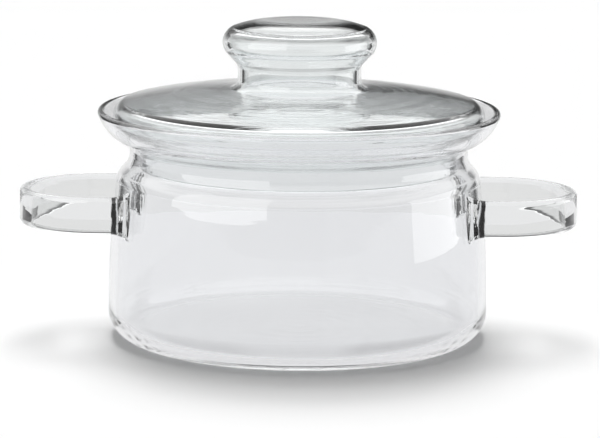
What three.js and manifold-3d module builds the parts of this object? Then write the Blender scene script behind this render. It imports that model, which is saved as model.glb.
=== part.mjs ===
// Glass cooking pot with a lift-off lid.
// The pot is one blown wall, with two strap handles fused to its side at four weld pads.
// The lid is a shallow blown dome, with a collar fused under it and a hollow knob on top.
// Millimetres, +Z up, origin at the middle of the base, handles along X.
import * as THREE from "three";
import { mergeVertices } from "three/addons/utils/BufferGeometryUtils.js";
import Module from "manifold-3d";

const wasm = await Module();
wasm.setup();

// Glass and fits
const wallThickness = 3.0;
const baseThickness = 4.0;
const lidThickness = 2.7;
const fuseGap = 0.3; // between a weld pad and the wall it is fused to
const seatGap = 0.4; // under the lid, measured straight down to the flare
const collarClearance = 1.7; // all round, between the collar and the inside of the neck

// Outside of the pot from the base upwards, each step counted from the corner before it
const bodyRadius = 80.8;
const baseRounding = 12;
const bellyHeight = 39;
const bellyTaper = 1.0;
const bellyRounding = 250;
const wallRise = 30.7;
const wallTaper = 3.0;
const shoulderRounding = 7.4;
const shoulderRise = 5.7;
const neckStep = 5.4;
const neckLowRounding = 6.8;
const neckRise = 6.6;
const neckHighRounding = 2.2;
const flareRise = 6.5;
const flareStep = 10.8;
const flareRounding = 16.8;
const lipRise = 6.9;
const lipStep = 2.6;

// Outside of the lid from the collar's lower edge upwards, counted in the same way
const collarDepth = 12.6;
const collarRounding = 2.5;
const undersideRise = 4.4;
const edgeReach = 11.7; // from the collar out to the rolled edge
const edgeLowRounding = 3.2;
const edgeRise = 9.5;
const edgeHighRounding = 5.5;
const domeRise = 3.7;
const domeTurn = 0.66; // share of the way from the knob to the edge where the dome steepens
const domeRounding = 185;
const crestRise = 2.9;
const crestRounding = 4.0;
const knobNeckRadius = 26.0;
const knobNeckRise = 9.7;
const knobNeckRounding = 3.5;
const knobFlareRise = 6.9;
const knobOverhang = 6.4;
const knobLowRounding = 5.5;
const knobSideRise = 7.8;
const knobHighRounding = 6.6;
const crownRise = 4.2;
const crownTurn = 0.6; // share of the knob's radius where its top turns down
const crownRounding = 36;

// Strap handles and their weld pads
const handleDrop = 13.7; // from the shoulder's corner down to the middle of the strap
const handleReach = 39.9; // from the wall out to the end of the loop
const loopWidth = 66.0;
const strapHeight = 15.4;
const strapThickness = 4.8;
const padHeight = 21.0;
const padWidth = 11.0;
const padLength = 5.6;

// Sizes that follow from the ones above
const bellyRadius = bodyRadius - bellyTaper;
const shoulderRadius = bellyRadius - wallTaper;
const shoulderHeight = bellyHeight + wallRise;
const neckRadius = shoulderRadius - neckStep;
const neckLow = shoulderHeight + shoulderRise;
const neckHigh = neckLow + neckRise;
const flareRadius = neckRadius + flareStep;
const flareHeight = neckHigh + flareRise;
const handleHeight = shoulderHeight - handleDrop;
const collarRadius = neckRadius - wallThickness - collarClearance;
const edgeRadius = collarRadius + edgeReach;
const edgeLow = collarDepth + undersideRise;
const edgeHigh = edgeLow + edgeRise;
const domeTurnRadius = THREE.MathUtils.lerp(knobNeckRadius, edgeRadius, domeTurn);
const crestHeight = edgeHigh + domeRise + crestRise;
const knobRadius = knobNeckRadius + knobOverhang;
const knobNeckTop = crestHeight + knobNeckRise;
const knobLow = knobNeckTop + knobFlareRise;
const knobHigh = knobLow + knobSideRise;
const knobTop = knobHigh + crownRise;
const collarSeam = collarDepth - 1.5 * collarRounding;
const knobSeam = THREE.MathUtils.lerp(crestHeight, knobNeckTop, 0.64);
const legOffset = (loopWidth - strapThickness) / 2;

// Fineness of the round surfaces: the widest step along an arc, by angle and by length
const turnSteps = 40;
const arcStep = THREE.MathUtils.degToRad(22.5);
const arcLength = 7;
const bendSteps = 16;
const padSteps = 5;
const halfSectionSteps = 6;

// One corner of an outline: radius, height and the rounding that the corner gets.
function corner(radius, height, rounding = 0) {
  return { at: new THREE.Vector2(radius, height), rounding };
}

// The left-hand normal of the side between two corners, which points into the glass.
function intoGlass(from, to) {
  const along = to.at.clone().sub(from.at).normalize();
  return new THREE.Vector2(-along.y, along.x);
}

// Where two lines cross, each given by a point on it and its normal.
function crossing(pointA, normalA, pointB, normalB) {
  const reachA = normalA.dot(pointA);
  const reachB = normalB.dot(pointB);
  const size = normalA.cross(normalB);
  const x = (reachA * normalB.y - reachB * normalA.y) / size;
  const y = (normalA.x * reachB - normalB.x * reachA) / size;
  return new THREE.Vector2(x, y);
}

// The far face of a glass wall: every side of an outline moved in by that side's thickness.
function insideOf(corners, thicknesses) {
  const sides = thicknesses.map((thickness, i) => {
    const normal = intoGlass(corners[i], corners[i + 1]);
    const start = corners[i].at.clone().addScaledVector(normal, thickness);
    const end = corners[i + 1].at.clone().addScaledVector(normal, thickness);
    return { normal, start, end, thickness };
  });
  return corners.map((outer, i) => {
    if (i === 0) return corner(sides[0].start.x, sides[0].start.y);
    const before = sides[i - 1];
    if (i === sides.length) return corner(before.end.x, before.end.y);
    const after = sides[i];
    const at = crossing(before.start, before.normal, after.start, after.normal);
    const bulges = before.normal.cross(after.normal) > 0;
    const rounding = outer.rounding + (bulges ? -after.thickness : after.thickness);
    return corner(at.x, at.y, Math.max(rounding, 0.5));
  });
}

// How far an outline turns at one of its corners, in radians.
function turnAt(corners, i) {
  const back = corners[i - 1].at.clone().sub(corners[i].at);
  const on = corners[i + 1].at.clone().sub(corners[i].at);
  return Math.PI - back.angleTo(on);
}

// Length of side that each corner's rounding takes, cut down where a side is too short.
function roundingLengths(corners) {
  const last = corners.length - 1;
  const wanted = corners.map((c, i) => {
    return i === 0 || i === last ? 0 : c.rounding * Math.tan(turnAt(corners, i) / 2);
  });
  const shares = corners.slice(1).map((c, i) => {
    const room = 0.98 * c.at.distanceTo(corners[i].at);
    return Math.min(1, room / (wanted[i] + wanted[i + 1] + 1e-9));
  });
  return wanted.map((length, i) => length * Math.min(shares[i - 1] ?? 1, shares[i] ?? 1));
}

// Points of an outline, with every corner rounded by an arc that meets both sides smoothly.
function outline(corners) {
  const lengths = roundingLengths(corners);
  return corners.flatMap((c, i) => {
    if (lengths[i] === 0) return [c.at.clone()];
    const back = corners[i - 1].at.clone().sub(c.at).normalize();
    const on = corners[i + 1].at.clone().sub(c.at).normalize();
    const turn = turnAt(corners, i);
    const radius = lengths[i] / Math.tan(turn / 2);
    const towards = back.clone().add(on).normalize();
    const middle = c.at.clone().addScaledVector(towards, Math.hypot(radius, lengths[i]));
    const start = c.at.clone().addScaledVector(back, lengths[i]);
    const sweep = back.cross(on) < 0 ? turn : -turn;
    return arc(start, middle, sweep);
  });
}

// Points along an arc from a start point, round a middle point.
function arc(start, middle, sweep) {
  const length = start.distanceTo(middle) * Math.abs(sweep);
  const steps = Math.ceil(Math.max(Math.abs(sweep) / arcStep, length / arcLength));
  return Array.from({ length: steps + 1 }, (_, k) => {
    return start.clone().rotateAround(middle, (sweep * k) / steps);
  });
}

// A round lip that closes an open edge of a glass wall, from one face to the other.
function lip(from, to) {
  const middle = from.clone().lerp(to, 0.5);
  return arc(from, middle, Math.PI).slice(1, -1);
}

// A shape turned about the Z axis from its outline.
function turned(points) {
  const shape = new THREE.LatheGeometry(points, turnSteps);
  shape.rotateX(Math.PI / 2);
  return welded(shape);
}

// The same shape with shared points, and without faces that have no area.
function welded(shape) {
  const plain = shape.clone();
  plain.deleteAttribute("normal");
  plain.deleteAttribute("uv");
  const merged = mergeVertices(plain, 1e-4);
  const index = merged.index.array;
  const faces = [];
  for (let i = 0; i < index.length; i += 3) {
    const [a, b, c] = [index[i], index[i + 1], index[i + 2]];
    if (a !== b && b !== c && c !== a) faces.push(a, b, c);
  }
  merged.setIndex(faces);
  merged.computeVertexNormals();
  return merged;
}

// A shape with another one cut away from it.
function cutAway(shape, tool) {
  const solids = [shape, tool].map((s) => {
    const vertProperties = s.attributes.position.array;
    const triVerts = Uint32Array.from(s.index.array);
    return new wasm.Manifold(new wasm.Mesh({ numProp: 3, vertProperties, triVerts }));
  });
  const left = solids[0].subtract(solids[1]).getMesh();
  const result = new THREE.BufferGeometry();
  result.setAttribute("position", new THREE.BufferAttribute(left.vertProperties, 3));
  result.setIndex(Array.from(left.triVerts));
  result.computeVertexNormals();
  return result;
}

// A closed skin over a row of rings that all have the same number of points.
function skinned(rings) {
  const count = rings[0].length;
  const points = rings.flat();
  const faces = [];
  for (let r = 0; r < rings.length - 1; r += 1) {
    for (let k = 0; k < count; k += 1) {
      const here = r * count + k;
      const next = r * count + ((k + 1) % count);
      faces.push(here, next + count, next, here, here + count, next + count);
    }
  }
  const end = points.length - count;
  for (let k = 1; k < count - 1; k += 1) {
    faces.push(0, k, k + 1, end, end + k + 1, end + k);
  }
  const shape = new THREE.BufferGeometry().setFromPoints(points);
  shape.setIndex(faces);
  shape.computeVertexNormals();
  return shape;
}

// A ring round the strap's section: two round edges joined by flat faces, standing on edge.
function strapRing(place, outwards, thickness, height) {
  const straight = (height - thickness) / 2;
  const ring = [];
  for (const edge of [1, -1]) {
    for (let k = 0; k <= halfSectionSteps; k += 1) {
      const angle = Math.PI * (k / halfSectionSteps + (edge > 0 ? 0 : 1));
      const across = (thickness / 2) * Math.cos(angle);
      const up = edge * straight + (thickness / 2) * Math.sin(angle);
      ring.push(place.clone().addScaledVector(outwards, across).setZ(place.z + up));
    }
  }
  return ring;
}

// Corners of the outside of the pot, from the middle of the base up to the rim.
function potCorners() {
  return [
    corner(0, 0),
    corner(bodyRadius, 0, baseRounding),
    corner(bellyRadius, bellyHeight, bellyRounding),
    corner(shoulderRadius, shoulderHeight, shoulderRounding),
    corner(neckRadius, neckLow, neckLowRounding),
    corner(neckRadius, neckHigh, neckHighRounding),
    corner(flareRadius, flareHeight, flareRounding),
    corner(flareRadius + lipStep, flareHeight + lipRise),
  ];
}

// The inside of the pot, from the middle of the floor up to the rim.
function potInside() {
  const corners = potCorners();
  const thicknesses = corners.slice(1).map((c, i) => (i === 0 ? baseThickness : wallThickness));
  return outline(insideOf(corners, thicknesses));
}

// The blown pot: base, side, shoulder, neck, flared mouth and round rim in one wall.
function potBody() {
  const outside = outline(potCorners());
  const inside = potInside();
  const rim = lip(outside.at(-1), inside.at(-1));
  return turned([...outside, ...rim, ...inside.reverse()]);
}

// Outside radius of the pot's wall at a height between the base and the shoulder.
function wallRadiusAt(height) {
  const points = outline(potCorners());
  const above = points.findIndex((p) => p.x > 0 && p.y >= height);
  const [a, b] = [points[above - 1], points[above]];
  return THREE.MathUtils.mapLinear(height, a.y, b.y, a.x, b.x);
}

// Where a strap's legs end: the plane across X where strap and weld pads are fused.
function strapEnd() {
  const wallAtLeg = Math.sqrt(wallRadiusAt(handleHeight) ** 2 - legOffset ** 2);
  return wallAtLeg + padLength;
}

// The right-hand strap: a leg at the front, a half-round end and a leg at the rear.
function rightStrap() {
  const bendMiddle = wallRadiusAt(handleHeight) + handleReach - loopWidth / 2;
  const rings = [];
  const addRing = (x, y, angle) => {
    const outwards = new THREE.Vector3(Math.cos(angle), Math.sin(angle), 0);
    const place = new THREE.Vector3(x, y, handleHeight);
    rings.push(strapRing(place, outwards, strapThickness, strapHeight));
  };
  addRing(strapEnd(), -legOffset, -Math.PI / 2);
  for (let k = 0; k <= bendSteps; k += 1) {
    const angle = Math.PI * (k / bendSteps - 0.5);
    addRing(bendMiddle + legOffset * Math.cos(angle), legOffset * Math.sin(angle), angle);
  }
  addRing(strapEnd(), legOffset, Math.PI / 2);
  return skinned(rings);
}

// A weld pad on the right-hand side: the strap's section spreads towards the wall, and the
// foot follows the wall's curve.
function rightPad(side) {
  const outwards = new THREE.Vector3(0, side, 0);
  const seam = strapEnd();
  const rings = Array.from({ length: padSteps + 1 }, (_, k) => {
    const share = k / padSteps;
    const place = new THREE.Vector3(seam - share * padLength, side * legOffset, handleHeight);
    const thickness = THREE.MathUtils.lerp(strapThickness, padWidth, share ** 2);
    const height = THREE.MathUtils.lerp(strapHeight, padHeight, share ** 2);
    return strapRing(place, outwards, thickness, height);
  });
  const deep = new THREE.Vector3(seam - padLength - padWidth, side * legOffset, handleHeight);
  rings.push(strapRing(deep, outwards, padWidth, padHeight));
  const pad = skinned(side > 0 ? rings : rings.reverse());
  return cutAway(pad, wallGrownBy(fuseGap));
}

// The space that the pot's side fills, grown outwards, to cut a foot that follows the wall.
function wallGrownBy(gap) {
  const side = outline(potCorners()).filter((p) => p.y <= neckLow);
  const top = new THREE.Vector2(0, side.at(-1).y);
  const grown = side.slice(1).map((p) => new THREE.Vector2(p.x + gap, p.y));
  return turned([new THREE.Vector2(0, 0), ...grown, top]);
}

// Corners of the lid's outside from the collar's lower edge to the top of the knob.
function lidCorners() {
  return {
    collar: [corner(collarRadius, 0), corner(collarRadius, collarSeam)],
    dome: [
      corner(collarRadius, collarSeam),
      corner(collarRadius, collarDepth, collarRounding),
      corner(edgeRadius, edgeLow, edgeLowRounding),
      corner(edgeRadius, edgeHigh, edgeHighRounding),
      corner(domeTurnRadius, edgeHigh + domeRise, domeRounding),
      corner(knobNeckRadius, crestHeight, crestRounding),
      corner(knobNeckRadius, knobSeam),
    ],
    knob: [
      corner(knobNeckRadius, knobSeam),
      corner(knobNeckRadius, knobNeckTop, knobNeckRounding),
      corner(knobRadius, knobLow, knobLowRounding),
      corner(knobRadius, knobHigh, knobHighRounding),
      corner(crownTurn * knobRadius, knobTop, crownRounding),
      corner(0, knobTop),
    ],
  };
}

// Both faces of one piece of the lid, each from the bottom to the top.
function lidFaces(corners) {
  const thicknesses = corners.slice(1).map(() => lidThickness);
  return { outside: outline(corners), inside: outline(insideOf(corners, thicknesses)) };
}

// The collar: a straight ring with a round lower edge.
function lidCollar() {
  const { outside, inside } = lidFaces(lidCorners().collar);
  const edge = lip(inside[0], outside[0]);
  return turned([...outside, ...inside.reverse(), ...edge, outside[0]]);
}

// The dome: from the top of the collar out to the rolled edge and in to the knob's neck.
function lidDome() {
  const { outside, inside } = lidFaces(lidCorners().dome);
  return turned([...outside, ...inside.reverse(), outside[0]]);
}

// The hollow knob, open to the space under the dome.
function lidKnob() {
  const { outside, inside } = lidFaces(lidCorners().knob);
  return turned([...inside.reverse(), ...outside]);
}

// Height of a face at a radius, where the face is listed outwards.
function faceHeight(points, radius) {
  for (let i = 1; i < points.length; i += 1) {
    const [a, b] = [points[i - 1], points[i]];
    if (a.x <= radius && radius <= b.x && a.x < b.x) {
      return THREE.MathUtils.mapLinear(radius, a.x, b.x, a.y, b.y);
    }
  }
  return null;
}

// How high the lid hangs: it is lowered until its underside is one gap above the flare.
function lidHeight() {
  const inside = potInside();
  const rim = lip(outline(potCorners()).at(-1), inside.at(-1)).reverse();
  const flare = [...inside.filter((p) => p.y > neckLow), ...rim];
  const underside = outline(lidCorners().dome);
  const pairs = [
    ...flare.map((p) => [p.y, faceHeight(underside, p.x)]),
    ...underside.map((p) => [faceHeight(flare, p.x), p.y]),
  ];
  const met = pairs.filter((pair) => !pair.includes(null));
  return Math.max(...met.map(([low, high]) => low - high)) + seatGap;
}

const object = new THREE.Group();
object.name = "glass_pot";

// Clear glass, with the faint grey that each piece shows against white
const potGlass = { color: 0xe6eaeb, roughness: 0.04, metalness: 0 };
const strapGlass = { color: 0xe2e5e5, roughness: 0.05, metalness: 0 };
const lidGlass = { color: 0xdde2e4, roughness: 0.04, metalness: 0 };

// Adds one piece of glass to the object.
function add(name, shape, glass) {
  const piece = new THREE.Mesh(shape, new THREE.MeshStandardMaterial(glass));
  piece.name = name;
  object.add(piece);
}

// The pot with its handles: the left side is the right side turned half round.
add("pot_body", potBody(), potGlass);
add("right_handle", rightStrap(), strapGlass);
add("left_handle", rightStrap().rotateZ(Math.PI), strapGlass);
add("right_front_weld", rightPad(-1), strapGlass);
add("right_rear_weld", rightPad(1), strapGlass);
add("left_front_weld", rightPad(1).rotateZ(Math.PI), strapGlass);
add("left_rear_weld", rightPad(-1).rotateZ(Math.PI), strapGlass);

// The lid, lowered into the flare.
const lidAt = lidHeight();
add("lid_collar", lidCollar().translate(0, 0, lidAt), lidGlass);
add("lid_dome", lidDome().translate(0, 0, lidAt), lidGlass);
add("lid_knob", lidKnob().translate(0, 0, lidAt), lidGlass);

export default object;
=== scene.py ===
import math

import bmesh
import bpy
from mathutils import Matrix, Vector


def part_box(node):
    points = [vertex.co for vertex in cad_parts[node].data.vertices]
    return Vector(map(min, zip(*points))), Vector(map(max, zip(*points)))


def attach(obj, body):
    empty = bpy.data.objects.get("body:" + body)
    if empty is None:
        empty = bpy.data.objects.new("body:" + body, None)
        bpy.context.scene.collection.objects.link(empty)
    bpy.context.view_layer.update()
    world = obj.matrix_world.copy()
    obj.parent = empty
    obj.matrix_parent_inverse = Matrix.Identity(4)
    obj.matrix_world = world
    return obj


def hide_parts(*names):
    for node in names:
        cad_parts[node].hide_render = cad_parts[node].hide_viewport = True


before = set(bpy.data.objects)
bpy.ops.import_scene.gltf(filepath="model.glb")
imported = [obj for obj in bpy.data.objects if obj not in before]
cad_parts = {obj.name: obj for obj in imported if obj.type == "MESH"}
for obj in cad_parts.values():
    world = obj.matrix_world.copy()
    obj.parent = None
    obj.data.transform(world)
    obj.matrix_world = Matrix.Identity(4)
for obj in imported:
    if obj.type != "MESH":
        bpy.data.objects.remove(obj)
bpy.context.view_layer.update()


# Pot wall
# One bubble of clear heat-proof glass, blown in a turned mould: a flat base, a side that leans in,
# a shoulder, a narrow neck and a flared mouth. The rim was cracked off and melted round.
mm = 0.001
wall_thickness = 3.0 * mm
base_thickness = 4.0 * mm

body_radius = 80.8 * mm
base_rounding = 12 * mm
belly_height = 39 * mm
belly_radius = body_radius - 1.0 * mm
belly_rounding = 250 * mm
shoulder_height = belly_height + 30.7 * mm
shoulder_radius = belly_radius - 3.0 * mm
shoulder_rounding = 7.4 * mm
neck_low_height = shoulder_height + 5.7 * mm
neck_radius = shoulder_radius - 5.4 * mm
neck_low_rounding = 6.8 * mm
neck_high_height = neck_low_height + 6.6 * mm
neck_high_rounding = 2.2 * mm
flare_height = neck_high_height + 6.5 * mm
flare_radius = neck_radius + 10.8 * mm
flare_rounding = 16.8 * mm
lip_height = flare_height + 6.9 * mm
lip_radius = flare_radius + 2.6 * mm

turn_steps = 192
arc_step = math.radians(4)
fewest_arc_steps = 3
longest_run = 2.5 * mm
halvings = 6
least_inner_rounding = 0.4 * mm
edge_roundness = 0.998
same_corner = 0.01 * mm
same_point = 0.002 * mm
straight_on = 1e-6

pot_pale = (0.96, 0.965, 0.97)
pot_deep = (0.9, 0.905, 0.915)
pot_ripple = 0.026 * mm
glass_ior = 1.47
tint_scale = 14
tint_detail = 3
swell_scale = 30
swell_detail = 1
ring_scale = (9, 9, 150)
ring_detail = 2


def sides(corners):
    """The unit directions along an outline, from each corner to the next."""
    pairs = zip(corners, corners[1:])
    return [Vector((b[0] - a[0], b[1] - a[1])).normalized() for a, b in pairs]


def inner_corners(corners, depths, hand):
    """The corners of the inner face of a glass wall.

    Hand is 1 where the glass lies left of the outline, and -1 where it lies right.
    """
    along = sides(corners)
    inward = [Vector((-u.y, u.x)) * hand for u in along]
    found = []
    for i, (radius, height, rounding) in enumerate(corners):
        before = max(i - 1, 0)
        after = min(i, len(along) - 1)
        place = Vector((radius, height))
        turn = along[before].cross(along[after]) if before != after else 0
        if abs(turn) < straight_on:
            found.append((*(place + inward[after] * depths[after]), 0))
            continue
        start = place + inward[before] * depths[before]
        offset = place + inward[after] * depths[after] - start
        reach = offset.cross(along[after]) / turn
        inner = rounding - depths[after] if turn * hand > 0 else rounding + depths[after]
        found.append((*(start + along[before] * reach), max(inner, least_inner_rounding)))
    return found


def glass_section(corners, depths, hand):
    """The section of a glass wall: its outer face, a melted round edge, and its inner face."""
    inner = inner_corners(corners, depths, hand)
    out = sides(corners)[-1] * depths[-1] / 2
    edge_round = depths[-1] / 2 * edge_roundness
    outer_edge = (corners[-1][0] + out.x, corners[-1][1] + out.y, edge_round)
    inner_edge = (inner[-1][0] + out.x, inner[-1][1] + out.y, edge_round)
    return corners[:-1] + [outer_edge, inner_edge] + inner[-2::-1]


def pick(points=None, edges=None, faces=None):
    """Selects, in the mesh being edited, only what passes the test for its kind."""
    mesh = bmesh.from_edit_mesh(bpy.context.object.data)
    for part in (*mesh.verts, *mesh.edges, *mesh.faces):
        part.select = False
    for test, parts in ((points, mesh.verts), (edges, mesh.edges), (faces, mesh.faces)):
        for part in parts if test else ():
            if test(part):
                part.select_set(True)
    bmesh.update_edit_mesh(bpy.context.object.data)


def select_as(kind):
    """Sets what edit mode selects: points, edges or faces."""
    bpy.ops.mesh.select_mode(type=kind)


def new_plane(name, size, place, turn=(0, 0, 0)):
    """A small plane whose place is in its mesh, open in edit mode, to be shaped into the piece."""
    bpy.ops.object.select_all(action="DESELECT")
    bpy.ops.mesh.primitive_plane_add(size=size, location=place, rotation=turn)
    piece = bpy.context.object
    piece.name = name
    piece.data.name = name
    bpy.ops.object.transform_apply(location=True, rotation=True, scale=True)
    bpy.ops.object.mode_set(mode="EDIT")
    return piece


def turned_glass(name, section):
    """A piece of blown glass: its section is a chain of edges, rounded at its corners and spun."""
    piece = new_plane(name, mm, (section[0][0], 0, section[0][1]))
    select_as("VERT")
    bpy.ops.mesh.select_all(action="SELECT")
    bpy.ops.mesh.merge(type="CENTER")
    for a, b in zip(section, section[1:]):
        step = (b[0] - a[0], 0, b[1] - a[1])
        bpy.ops.mesh.extrude_vertices_move(TRANSFORM_OT_translate={"value": step})
    along = sides(section)
    for i, (radius, height, rounding) in enumerate(section):
        if not rounding:
            continue
        turn = along[i - 1].angle(along[i])
        even_steps = math.ceil(turn / arc_step)
        short_steps = math.ceil(turn * rounding / longest_run)
        corner = Vector((radius, 0, height))
        pick(points=lambda v: (v.co - corner).length < same_corner)
        bpy.ops.mesh.bevel(
            offset=rounding * math.tan(turn / 2),
            segments=max(even_steps, short_steps, fewest_arc_steps),
            profile=0.5,
            affect="VERTICES",
        )
    select_as("EDGE")
    for _ in range(halvings):
        pick(edges=lambda e: e.calc_length() > longest_run)
        bpy.ops.mesh.subdivide(number_cuts=1)
    bpy.ops.mesh.select_all(action="SELECT")
    bpy.ops.mesh.spin(steps=turn_steps, angle=2 * math.pi, center=(0, 0, 0), axis=(0, 0, 1))
    bpy.ops.mesh.select_all(action="SELECT")
    bpy.ops.mesh.remove_doubles(threshold=same_point)
    bpy.ops.mesh.normals_make_consistent(inside=False)
    bpy.ops.object.mode_set(mode="OBJECT")
    bpy.ops.object.shade_smooth()
    return piece


def calculate(tree, operation, a, b=0.0):
    """One sum on the numbers of a material."""
    node = tree.nodes.new("ShaderNodeMath")
    node.operation = operation
    for value, socket in zip((a, b), node.inputs):
        if isinstance(value, (int, float)):
            socket.default_value = value
        else:
            tree.links.new(value, socket)
    return node.outputs["Value"]


def drifting(tree, place, scale, detail):
    """A noise that drifts over the glass, from 0 to 1."""
    noise = tree.nodes.new("ShaderNodeTexNoise")
    noise.inputs["Scale"].default_value = scale
    noise.inputs["Detail"].default_value = detail
    tree.links.new(place, noise.inputs["Vector"])
    return noise.outputs["Fac"]


def tint_between(tree, mask, first, second):
    """Goes from one tint to another where the mask is 1. A tint may come from another node."""
    node = tree.nodes.new("ShaderNodeMix")
    node.data_type = "RGBA"
    tree.links.new(mask, node.inputs["Factor"])
    for tint, socket in ((first, "A"), (second, "B")):
        if isinstance(tint, tuple):
            node.inputs[socket].default_value = (*tint, 1)
        else:
            tree.links.new(tint, node.inputs[socket])
    return node.outputs["Result"]


def clear_glass(name, pale, deep, ripple, turned=1.0):
    """Clear glass: faint drifts of tint in the melt, shallow swells, and fine rings from the mould.

    The rings follow the height and the radius. Where turned is 0 they follow the height alone.
    """
    glass = bpy.data.materials.new(name)
    glass.use_nodes = True
    tree = glass.node_tree
    shader = tree.nodes["Principled BSDF"]
    shader.inputs["Transmission Weight"].default_value = 1.0
    shader.inputs["Roughness"].default_value = 0.0
    shader.inputs["IOR"].default_value = glass_ior

    place = tree.nodes.new("ShaderNodeTexCoord").outputs["Object"]
    tint = tint_between(tree, drifting(tree, place, tint_scale, tint_detail), pale, deep)
    tree.links.new(tint, shader.inputs["Base Color"])

    flat = tree.nodes.new("ShaderNodeVectorMath")
    flat.operation = "MULTIPLY"
    flat.inputs[1].default_value = (turned, turned, 0)
    tree.links.new(place, flat.inputs[0])
    radius = tree.nodes.new("ShaderNodeVectorMath")
    radius.operation = "LENGTH"
    tree.links.new(flat.outputs["Vector"], radius.inputs[0])
    outward = tree.nodes.new("ShaderNodeCombineXYZ")
    tree.links.new(radius.outputs["Value"], outward.inputs["Z"])
    along = tree.nodes.new("ShaderNodeVectorMath")
    tree.links.new(place, along.inputs[0])
    tree.links.new(outward.outputs["Vector"], along.inputs[1])
    rings = tree.nodes.new("ShaderNodeMapping")
    rings.inputs["Scale"].default_value = ring_scale
    tree.links.new(along.outputs["Vector"], rings.inputs["Vector"])
    striae = drifting(tree, rings.outputs["Vector"], 1, ring_detail)
    swell = drifting(tree, place, swell_scale, swell_detail)
    bump = tree.nodes.new("ShaderNodeBump")
    bump.inputs["Strength"].default_value = 1.0
    bump.inputs["Distance"].default_value = ripple
    tree.links.new(calculate(tree, "ADD", swell, striae), bump.inputs["Height"])
    tree.links.new(bump.outputs["Normal"], shader.inputs["Normal"])
    return glass


pot_outside = [
    (0, 0, 0),
    (body_radius, 0, base_rounding),
    (belly_radius, belly_height, belly_rounding),
    (shoulder_radius, shoulder_height, shoulder_rounding),
    (neck_radius, neck_low_height, neck_low_rounding),
    (neck_radius, neck_high_height, neck_high_rounding),
    (flare_radius, flare_height, flare_rounding),
    (lip_radius, lip_height, 0),
]
pot_depths = [base_thickness] + [wall_thickness] * (len(pot_outside) - 2)
pot = turned_glass("pot_glass_wall", glass_section(pot_outside, pot_depths, 1))
pot.data.materials.append(clear_glass("pot_clear_glass", pot_pale, pot_deep, pot_ripple))


# Handles and their welds
# Each handle is a flat strip of hot glass, bent into a U and stood on edge. Its ends are pressed
# on to the side of the pot, where they spread into pads and melt in. The dark bars in the welds
# are painted shade, standing in for dark surroundings refracted in the thick weld glass.
strap_low, strap_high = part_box("right_handle")
weld_low, weld_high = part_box("right_front_weld")
strap_height = strap_high.z - strap_low.z
strap_middle = (strap_high.z + strap_low.z) / 2
strap_thickness = 4.8 * mm
strap_edge_round = 0.46 * strap_thickness
strap_edge_steps = 8
loop_radius = strap_high.y - strap_thickness / 2
bend_at = strap_high.x - strap_high.y
bend_steps = 48
weld_at = weld_high.x
pad_height = weld_high.z - weld_low.z
pad_width = 11 * mm
pad_sink = 1.0 * mm
pad_steps = 7
smooth_up_to = math.radians(50)
end_on = 0.9

handle_pale = (0.9, 0.905, 0.905)
handle_deep = (0.83, 0.84, 0.835)
handle_ripple = 0.1 * mm
# Painted shade: the near-black tint of the dark bars in the welds, in place of refracted dark
# surroundings.
painted_shade_tint = (0.004, 0.004, 0.0042)
painted_shade_softness = 0.25 * mm
painted_shade_sway = 3 * mm
painted_shade_sway_scale = 140
painted_shade_detail = 2
painted_shade_break_softness = 0.04
# Each bar of painted shade starts and ends at a depth in the pad. It shows where a noise of its
# scale is strong.
painted_shade_bars = [(0.3 * mm, 2.4 * mm, 200, 0.32), (3.3 * mm, 4.5 * mm, 260, 0.47)]


def strap_handle(name):
    """The right-hand handle: its section is rounded, spun into the bend, and drawn out to pads."""
    start = (bend_at, -loop_radius, strap_middle)
    strap = new_plane(name, strap_thickness, start, (0, math.pi / 2, 0))
    select_as("VERT")
    bpy.ops.mesh.select_all(action="SELECT")
    bpy.ops.transform.resize(
        value=(1, 1, strap_height / strap_thickness), center_override=start, orient_type="GLOBAL"
    )
    bpy.ops.mesh.bevel(
        offset=strap_edge_round, segments=strap_edge_steps, profile=0.5, affect="VERTICES"
    )
    bpy.ops.mesh.select_all(action="SELECT")
    bpy.ops.mesh.spin(
        steps=bend_steps, angle=math.pi, center=(bend_at, 0, strap_middle), axis=(0, 0, -1)
    )
    bpy.ops.mesh.select_all(action="SELECT")
    bpy.ops.mesh.remove_doubles(threshold=same_point)
    bpy.ops.mesh.normals_make_consistent(inside=False)
    select_as("FACE")
    wall_here = math.sqrt(shoulder_radius ** 2 - loop_radius ** 2)
    travel = (wall_here - weld_at) / pad_steps
    for side in (-1, 1):
        middle = Vector((bend_at, side * loop_radius, strap_middle))
        pick(
            faces=lambda f: abs(f.normal.x) > end_on
            and (f.calc_center_median() - middle).length < mm
        )
        straight = (weld_at - bend_at, 0, 0)
        bpy.ops.mesh.extrude_region_move(TRANSFORM_OT_translate={"value": straight})
        middle.x = weld_at
        height, width = strap_height, strap_thickness
        for step in range(1, pad_steps + 1):
            spread = 1 - math.cos(step / pad_steps * math.pi / 2)
            new_height = strap_height + (pad_height - strap_height) * spread
            new_width = strap_thickness + (pad_width - strap_thickness) * spread
            bpy.ops.mesh.extrude_region_move(TRANSFORM_OT_translate={"value": (travel, 0, 0)})
            middle.x += travel
            bpy.ops.transform.resize(
                value=(1, new_width / width, new_height / height),
                center_override=middle,
                orient_type="GLOBAL",
            )
            height, width = new_height, new_width
        wall_turn = side * math.asin(loop_radius / shoulder_radius)
        sink = Vector((-math.cos(wall_turn), -math.sin(wall_turn), 0)) * pad_sink
        bpy.ops.mesh.extrude_region_move(TRANSFORM_OT_translate={"value": sink})
    bpy.ops.object.mode_set(mode="OBJECT")
    return strap


def rise(tree, value, low, high):
    """Goes evenly from 0 at low to 1 at high."""
    node = tree.nodes.new("ShaderNodeMapRange")
    tree.links.new(value, node.inputs["Value"])
    node.inputs["From Min"].default_value = low
    node.inputs["From Max"].default_value = high
    return node.outputs["Result"]


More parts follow.
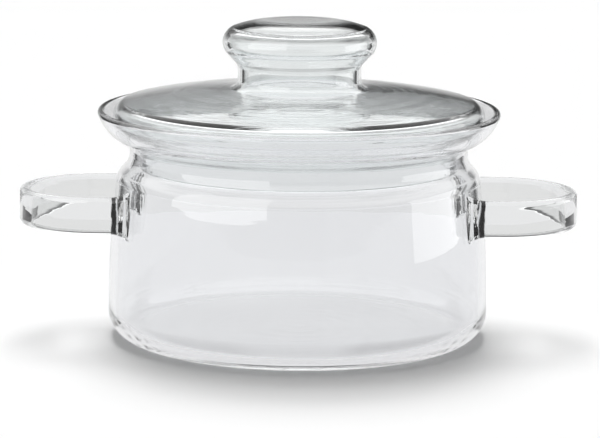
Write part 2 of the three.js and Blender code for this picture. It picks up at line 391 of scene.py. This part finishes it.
def paint_weld_shade(glass):
    """Paints shade into a weld: dark bars at their depth in the pad, broken up by a noise.

    The bars stand in for dark surroundings refracted in the thick glass.
    """
    tree = glass.node_tree
    tint_socket = tree.nodes["Principled BSDF"].inputs["Base Color"]
    clear_tint = tint_socket.links[0].from_socket
    place = tree.nodes.new("ShaderNodeTexCoord").outputs["Object"]
    split = tree.nodes.new("ShaderNodeSeparateXYZ")
    tree.links.new(place, split.inputs["Vector"])
    depth = calculate(tree, "SUBTRACT", weld_at, calculate(tree, "ABSOLUTE", split.outputs["X"]))
    noise = drifting(tree, place, painted_shade_sway_scale, painted_shade_detail)
    sway = calculate(tree, "SUBTRACT", noise, 0.5)
    depth = calculate(tree, "ADD", depth, calculate(tree, "MULTIPLY", sway, painted_shade_sway))
    dark = 0.0
    for near, far, grain, break_at in painted_shade_bars:
        breaks = drifting(tree, place, grain, painted_shade_detail)
        bar = rise(tree, breaks, break_at - painted_shade_break_softness, break_at + painted_shade_break_softness)
        starts = rise(tree, depth, near - painted_shade_softness, near + painted_shade_softness)
        ends = rise(tree, depth, far + painted_shade_softness, far - painted_shade_softness)
        bar = calculate(tree, "MULTIPLY", calculate(tree, "MULTIPLY", bar, starts), ends)
        dark = calculate(tree, "MAXIMUM", dark, bar)
    # The dark bars go into the weld glass's tint as painted shade.
    tree.links.new(tint_between(tree, dark, clear_tint, painted_shade_tint), tint_socket)
    return glass


def melt_on(piece, other):
    """Joins another piece to this one as a single glass."""
    bpy.ops.object.select_all(action="DESELECT")
    bpy.context.view_layer.objects.active = piece
    piece.select_set(True)
    fuse = piece.modifiers.new("melted", "BOOLEAN")
    fuse.operation = "UNION"
    fuse.solver = "EXACT"
    fuse.material_mode = "TRANSFER"
    fuse.object = other
    bpy.ops.object.modifier_apply(modifier=fuse.name)
    bpy.data.objects.remove(other)


right_strap = strap_handle("right_strap")
handle_glass = clear_glass("handle_clear_glass", handle_pale, handle_deep, handle_ripple, 0.0)
# The weld glass carries the bars of painted shade.
painted_shade_weld_glass = clear_glass("weld_glass_painted_shade", handle_pale, handle_deep, handle_ripple, 0.0)
right_strap.data.materials.append(handle_glass)
right_strap.data.materials.append(paint_weld_shade(painted_shade_weld_glass))
for face in right_strap.data.polygons:
    face.material_index = 1 if face.center.x < weld_at else 0
bpy.ops.object.duplicate()
left_strap = bpy.context.object
bpy.ops.transform.rotate(value=math.pi, orient_axis="Z", center_override=(0, 0, 0))
bpy.ops.object.transform_apply(location=True, rotation=True, scale=True)
melt_on(pot, right_strap)
melt_on(pot, left_strap)
bpy.ops.object.shade_smooth_by_angle(angle=smooth_up_to)

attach(pot, "pot")
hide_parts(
    "pot_body",
    "right_handle",
    "left_handle",
    "right_front_weld",
    "right_rear_weld",
    "left_front_weld",
    "left_rear_weld",
)


# Lid
# A second blown bubble of the same glass: a straight collar that hangs in the neck, a rolled edge
# that rests in the flare, a shallow dome, and a hollow mushroom knob that is fused on top.
lid_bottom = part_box("lid_collar")[0].z
lid_thickness = 2.7 * mm
collar_edge = lid_bottom + lid_thickness / 2

collar_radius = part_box("lid_collar")[1].x
collar_top = collar_edge + 12.6 * mm
collar_rounding = 2.5 * mm
edge_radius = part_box("lid_dome")[1].x
edge_low = collar_top + 4.4 * mm
edge_low_rounding = 3.2 * mm
edge_high = edge_low + 9.5 * mm
edge_high_rounding = 5.5 * mm
knob_neck_radius = 26.0 * mm
dome_height = edge_high + 3.7 * mm
dome_turn_share = 0.66
dome_radius = knob_neck_radius + dome_turn_share * (edge_radius - knob_neck_radius)
dome_rounding = 185 * mm
crest_height = dome_height + 2.9 * mm
crest_rounding = 4 * mm
knob_neck_height = crest_height + 9.7 * mm
knob_neck_rounding = 3.5 * mm
knob_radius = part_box("lid_knob")[1].x
knob_low = knob_neck_height + 6.9 * mm
knob_low_rounding = 5.5 * mm
knob_high = knob_low + 7.8 * mm
knob_high_rounding = 6.6 * mm
crown_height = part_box("lid_knob")[1].z
crown_turn_share = 0.6
crown_radius = crown_turn_share * knob_radius
crown_rounding = 36 * mm

lid_pale = (0.965, 0.98, 0.98)
lid_deep = (0.91, 0.93, 0.93)
lid_ripple = 0.06 * mm

lid_outside = [
    (0, crown_height, 0),
    (crown_radius, crown_height, crown_rounding),
    (knob_radius, knob_high, knob_high_rounding),
    (knob_radius, knob_low, knob_low_rounding),
    (knob_neck_radius, knob_neck_height, knob_neck_rounding),
    (knob_neck_radius, crest_height, crest_rounding),
    (dome_radius, dome_height, dome_rounding),
    (edge_radius, edge_high, edge_high_rounding),
    (edge_radius, edge_low, edge_low_rounding),
    (collar_radius, collar_top, collar_rounding),
    (collar_radius, collar_edge, 0),
]
lid_depths = [lid_thickness] * (len(lid_outside) - 1)
lid = turned_glass("lid_glass_shell", glass_section(lid_outside, lid_depths, -1))
lid.data.materials.append(clear_glass("lid_clear_glass", lid_pale, lid_deep, lid_ripple))

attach(lid, "lid")
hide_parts("lid_dome", "lid_collar", "lid_knob")


# Studio floor
# A plain matt white board, laid flat under the pot, which takes its soft shadow.
# In the glass it looks nearly even white.
floor_size = 12
floor_drop = 0.2 * mm
board_colour = (0.93, 0.93, 0.93, 1)
white_in_glass = (0.9, 0.9, 0.91, 1)
white_in_glass_share = 0.85

bpy.ops.object.select_all(action="DESELECT")
bpy.ops.mesh.primitive_plane_add(size=floor_size, location=(0, 0, -floor_drop))
floor = bpy.context.object
floor.name = "studio_floor"
board = bpy.data.materials.new("white_board")
board.use_nodes = True
tree = board.node_tree
tree.nodes.remove(tree.nodes["Principled BSDF"])
matt = tree.nodes.new("ShaderNodeBsdfDiffuse")
matt.inputs["Color"].default_value = board_colour
white = tree.nodes.new("ShaderNodeEmission")
white.inputs["Color"].default_value = white_in_glass
rays = tree.nodes.new("ShaderNodeLightPath").outputs
in_glass = calculate(tree, "MAXIMUM", rays["Is Glossy Ray"], rays["Is Transmission Ray"])
both = tree.nodes.new("ShaderNodeMixShader")
tree.links.new(calculate(tree, "MULTIPLY", in_glass, white_in_glass_share), both.inputs["Fac"])
tree.links.new(matt.outputs["BSDF"], both.inputs[1])
tree.links.new(white.outputs["Emission"], both.inputs[2])
tree.links.new(both.outputs["Shader"], tree.nodes["Material Output"].inputs["Surface"])
floor.data.materials.append(board)


# Studio panels
# What the glass mirrors: a card close behind the pot, darker towards its top and most on its right,
# black flags that draw the edges of the glass, and a soft box on either side. Only glass sees them.
card_distance = 0.3
card_width = 0.46
card_height = 0.212
card_foot_level = 0.85
# Each shade of the card comes in between two heights, over the shade below it.
card_middle = [
    (0.085, 0.11, 0.72),
    (0.11, 0.14, 0.5),
    (0.14, 0.175, 0.52),
    (0.175, 0.195, 0.1),
    (0.195, 0.205, 0.01),
]
card_left = [(0.08, 0.11, 0.6), (0.11, 0.14, 0.2), (0.14, 0.19, 0.08), (0.19, 0.2, 0.01)]
card_right = [(0.08, 0.105, 0.5), (0.105, 0.13, 0.08), (0.13, 0.19, 0.02), (0.19, 0.2, 0.01)]
card_turn_from = 0.024
card_turn_to = 0.042
flag_width = 0.35
flag_height = 0.1
flag_level = 0.03
soft_box_through_level = 1.0


def blend_to(tree, level, mask, new_level):
    """Goes from one level of light to another where the mask is 1."""
    node = tree.nodes.new("ShaderNodeMix")
    node.data_type = "FLOAT"
    for value, socket in ((mask, "Factor"), (level, "A"), (new_level, "B")):
        if isinstance(value, (int, float)):
            node.inputs[socket].default_value = value
        else:
            tree.links.new(value, node.inputs[socket])
    return node.outputs["Result"]


def panel(name, width, height, middle, turn=0, roll=0):
    """A standing panel that shows only in glass. Gives its nodes and its level of light."""
    bpy.ops.object.select_all(action="DESELECT")
    bpy.ops.mesh.primitive_plane_add(size=1, location=middle, rotation=(math.pi / 2, roll, turn))
    board = bpy.context.object
    board.name = name
    board.scale = (width, height, 1)
    bpy.ops.object.transform_apply(location=True, rotation=True, scale=True)
    board.visible_camera = False
    board.visible_diffuse = False
    board.visible_shadow = False
    light = bpy.data.materials.new(name)
    light.use_nodes = True
    tree = light.node_tree
    tree.nodes.remove(tree.nodes["Principled BSDF"])
    glow = tree.nodes.new("ShaderNodeEmission")
    tree.links.new(glow.outputs["Emission"], tree.nodes["Material Output"].inputs["Surface"])
    board.data.materials.append(light)
    return tree, glow.inputs["Strength"]


def soft_box(name, distance, bearing, width, low, high, level, roll=0):
    """A soft box that faces the pot from a bearing, counted from straight behind it to the right.

    Straight through the glass it looks plain white.
    """
    middle = (distance * math.sin(bearing), distance * math.cos(bearing), (low + high) / 2)
    tree, strength = panel(name, width, high - low, middle, -bearing, roll)
    through = tree.nodes.new("ShaderNodeLightPath").outputs["Is Transmission Ray"]
    tree.links.new(blend_to(tree, level, through, soft_box_through_level), strength)


def card_level(tree, height, shades):
    """The card's light from its foot upwards."""
    level = card_foot_level
    for low, high, shade in shades:
        level = blend_to(tree, level, rise(tree, height, low, high), shade)
    return level


tree, strength = panel("back_card", card_width, card_height, (0, card_distance, card_height / 2))
place = tree.nodes.new("ShaderNodeTexCoord").outputs["Object"]
split = tree.nodes.new("ShaderNodeSeparateXYZ")
tree.links.new(place, split.inputs["Vector"])
rightwards = split.outputs["X"]
leftwards = calculate(tree, "MULTIPLY", rightwards, -1)
upwards = split.outputs["Z"]
to_right = rise(tree, rightwards, card_turn_from, card_turn_to)
to_left = rise(tree, leftwards, card_turn_from, card_turn_to)
level = card_level(tree, upwards, card_middle)
level = blend_to(tree, level, to_right, card_level(tree, upwards, card_right))
level = blend_to(tree, level, to_left, card_level(tree, upwards, card_left))
tree.links.new(level, strength)

flag_middle = (card_width + flag_width) / 2
for name, side in (("left_flag", -1), ("right_flag", 1)):
    flag_place = (side * flag_middle, card_distance, flag_height / 2)
    tree, strength = panel(name, flag_width, flag_height, flag_place)
    strength.default_value = flag_level

soft_box(
    "right_soft_box",
    distance=0.6,
    bearing=math.radians(86),
    width=0.53,
    low=0,
    high=0.3,
    level=3.2,
)
soft_box(
    "left_soft_box",
    distance=0.7,
    bearing=math.radians(-129),
    width=0.86,
    low=0.0565,
    high=1.2565,
    level=3.4,
    roll=math.radians(2.1),
)


# Studio surroundings
# A grey room that is dark behind the card, under a white ceiling of light. A row of soft lamps runs
# from straight above to the back, a little to the left. The floor's other light is even.
dark_level = 0.03
room_level = 0.65
# The angles of the room are in degrees, off the back and above the floor.
dark_half_width = 22
dark_softness = 4
ceiling_from = 22.6
ceiling_softness = 0.25
ceiling_edge_level = 1.1
ceiling_rises_from = 24.6
ceiling_full_from = 29.4
ceiling_level = 1.5
even_light = 0.25
backdrop_level = 1.0
room_colour = (1, 1, 1, 1)
# Each lamp has its tilt to the back in degrees and its strength.
lamp_row = [(2, 0.87), (16, 0.915), (30, 0.965)]
lamp_left_lean = math.radians(2)
lamp_spread = math.radians(24)
lamp_height = 1.5
most_bounces = 32

world = bpy.data.worlds.new("studio")
bpy.context.scene.world = world
world.use_nodes = True
tree = world.node_tree
direction = tree.nodes.new("ShaderNodeTexCoord")
split = tree.nodes.new("ShaderNodeSeparateXYZ")
tree.links.new(direction.outputs["Generated"], split.inputs["Vector"])
rays = tree.nodes.new("ShaderNodeLightPath").outputs
degrees = 180 / math.pi
lift = calculate(tree, "MULTIPLY", calculate(tree, "ARCSINE", split.outputs["Z"]), degrees)
around = calculate(tree, "ARCTAN2", split.outputs["X"], split.outputs["Y"])
off_back = calculate(tree, "MULTIPLY", calculate(tree, "ABSOLUTE", around), degrees)
in_room = rise(tree, off_back, dark_half_width - dark_softness, dark_half_width + dark_softness)
in_ceiling = rise(tree, lift, ceiling_from - ceiling_softness, ceiling_from + ceiling_softness)
in_full_ceiling = rise(tree, lift, ceiling_rises_from, ceiling_full_from)
level = blend_to(tree, dark_level, in_room, room_level)
level = blend_to(tree, level, in_ceiling, ceiling_edge_level)
level = blend_to(tree, level, in_full_ceiling, ceiling_level)
level = blend_to(tree, level, rays["Is Diffuse Ray"], even_light)
level = blend_to(tree, level, rays["Is Camera Ray"], backdrop_level)
tree.links.new(level, tree.nodes["Background"].inputs["Strength"])
tree.nodes["Background"].inputs["Color"].default_value = room_colour

for count, (tilt, energy) in enumerate(lamp_row, start=1):
    lean = math.radians(tilt)
    spot = (0, lamp_height * math.tan(lean), lamp_height)
    bpy.ops.object.light_add(type="SUN", location=spot, rotation=(-lean, -lamp_left_lean, 0))
    lamp = bpy.context.object
    lamp.name = f"ceiling_lamp_{count}"
    lamp.data.energy = energy
    lamp.data.angle = lamp_spread
    lamp.visible_glossy = False
    lamp.visible_transmission = False

light_paths = bpy.context.scene.cycles
light_paths.max_bounces = most_bounces
light_paths.glossy_bounces = most_bounces
light_paths.transmission_bounces = most_bounces


# Camera
# The viewing angle of the photograph: a long lens, a little above the lid,
# looking down about ten degrees.
camera_place = (0.00077, -1.3, 0.2845)
camera_down = 0.1785
camera_turn = 0.0092
film_width = 36
lens_length = 186.72

bpy.ops.object.camera_add(location=camera_place)
camera = bpy.context.object
camera.name = "photo_camera"
camera.rotation_mode = "ZYX"
camera.rotation_euler = (math.pi / 2 - camera_down, 0, camera_turn)
camera.data.sensor_width = film_width
camera.data.lens = lens_length
bpy.context.scene.camera = camera
bpy.context.scene.view_settings.view_transform = "Standard"
